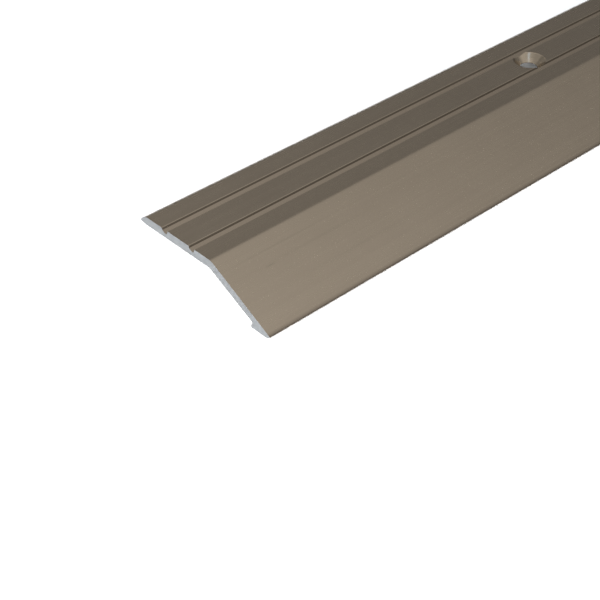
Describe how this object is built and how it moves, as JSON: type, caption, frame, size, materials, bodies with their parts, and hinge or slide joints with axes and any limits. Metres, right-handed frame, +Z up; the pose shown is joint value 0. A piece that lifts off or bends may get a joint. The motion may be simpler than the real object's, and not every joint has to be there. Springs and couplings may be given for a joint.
{
  "type": "threshold strip",
  "caption": "Aluminium threshold strip that ramps down from a grooved, countersunk flange to a foot, with its screws and wall plugs lying underneath.",
  "frame": {"origin": "on the lower floor, under the middle of the strip's length and width", "axes": "+Y along the strip, +X across it from the flange to the ramp's toe, +Z up; the strip lies as it is fitted, its foot on the lower floor at z = 0 and its flange one floor step above"},
  "size_m": [0.0406, 0.9, 0.01],
  "materials": {
    "bronze_aluminium": "satin bronze anodised, with bare saw-cut ends",
    "screw_steel": "zinc plated with a bronze tint",
    "plug_nylon": "moulded grey nylon"
  },
  "bodies": {
    "root": {"ramp_strip": "bronze_aluminium", "fixing_screw_1": "screw_steel", "fixing_screw_2": "screw_steel", "fixing_screw_3": "screw_steel", "fixing_screw_4": "screw_steel", "wall_plug_1": "plug_nylon", "wall_plug_2": "plug_nylon", "wall_plug_3": "plug_nylon", "wall_plug_4": "plug_nylon"}
  },
  "joints": []
}
